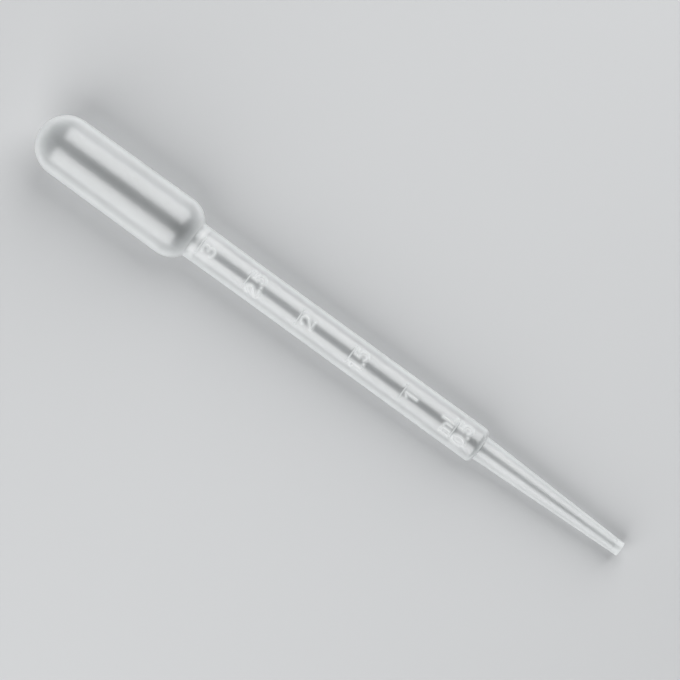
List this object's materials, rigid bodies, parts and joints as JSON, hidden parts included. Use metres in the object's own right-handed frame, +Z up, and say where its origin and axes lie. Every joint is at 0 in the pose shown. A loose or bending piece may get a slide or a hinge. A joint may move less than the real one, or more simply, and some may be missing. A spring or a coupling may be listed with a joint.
{
  "type": "dropper pipette",
  "caption": "Graduated squeeze-bulb dropper pipette, blown in one piece from translucent plastic, with a straight stem, a step and a tapering tip.",
  "frame": {"origin": "centre of the bounding box's underside, on the surface that the pipette lies on", "axes": "+X along the pipette's length from the bulb to the tip, +Y across it, +Z up, with the graduation marks on the upper side. The pipette's own axis leans 2.08 degrees down towards the tip, because the bulb is thicker than the stem"},
  "size_m": [0.15, 0.0136, 0.0145],
  "materials": {
    "polyethylene": "translucent milky white, satin as blown"
  },
  "bodies": {
    "root": {"pipette": "polyethylene"}
  },
  "joints": []
}
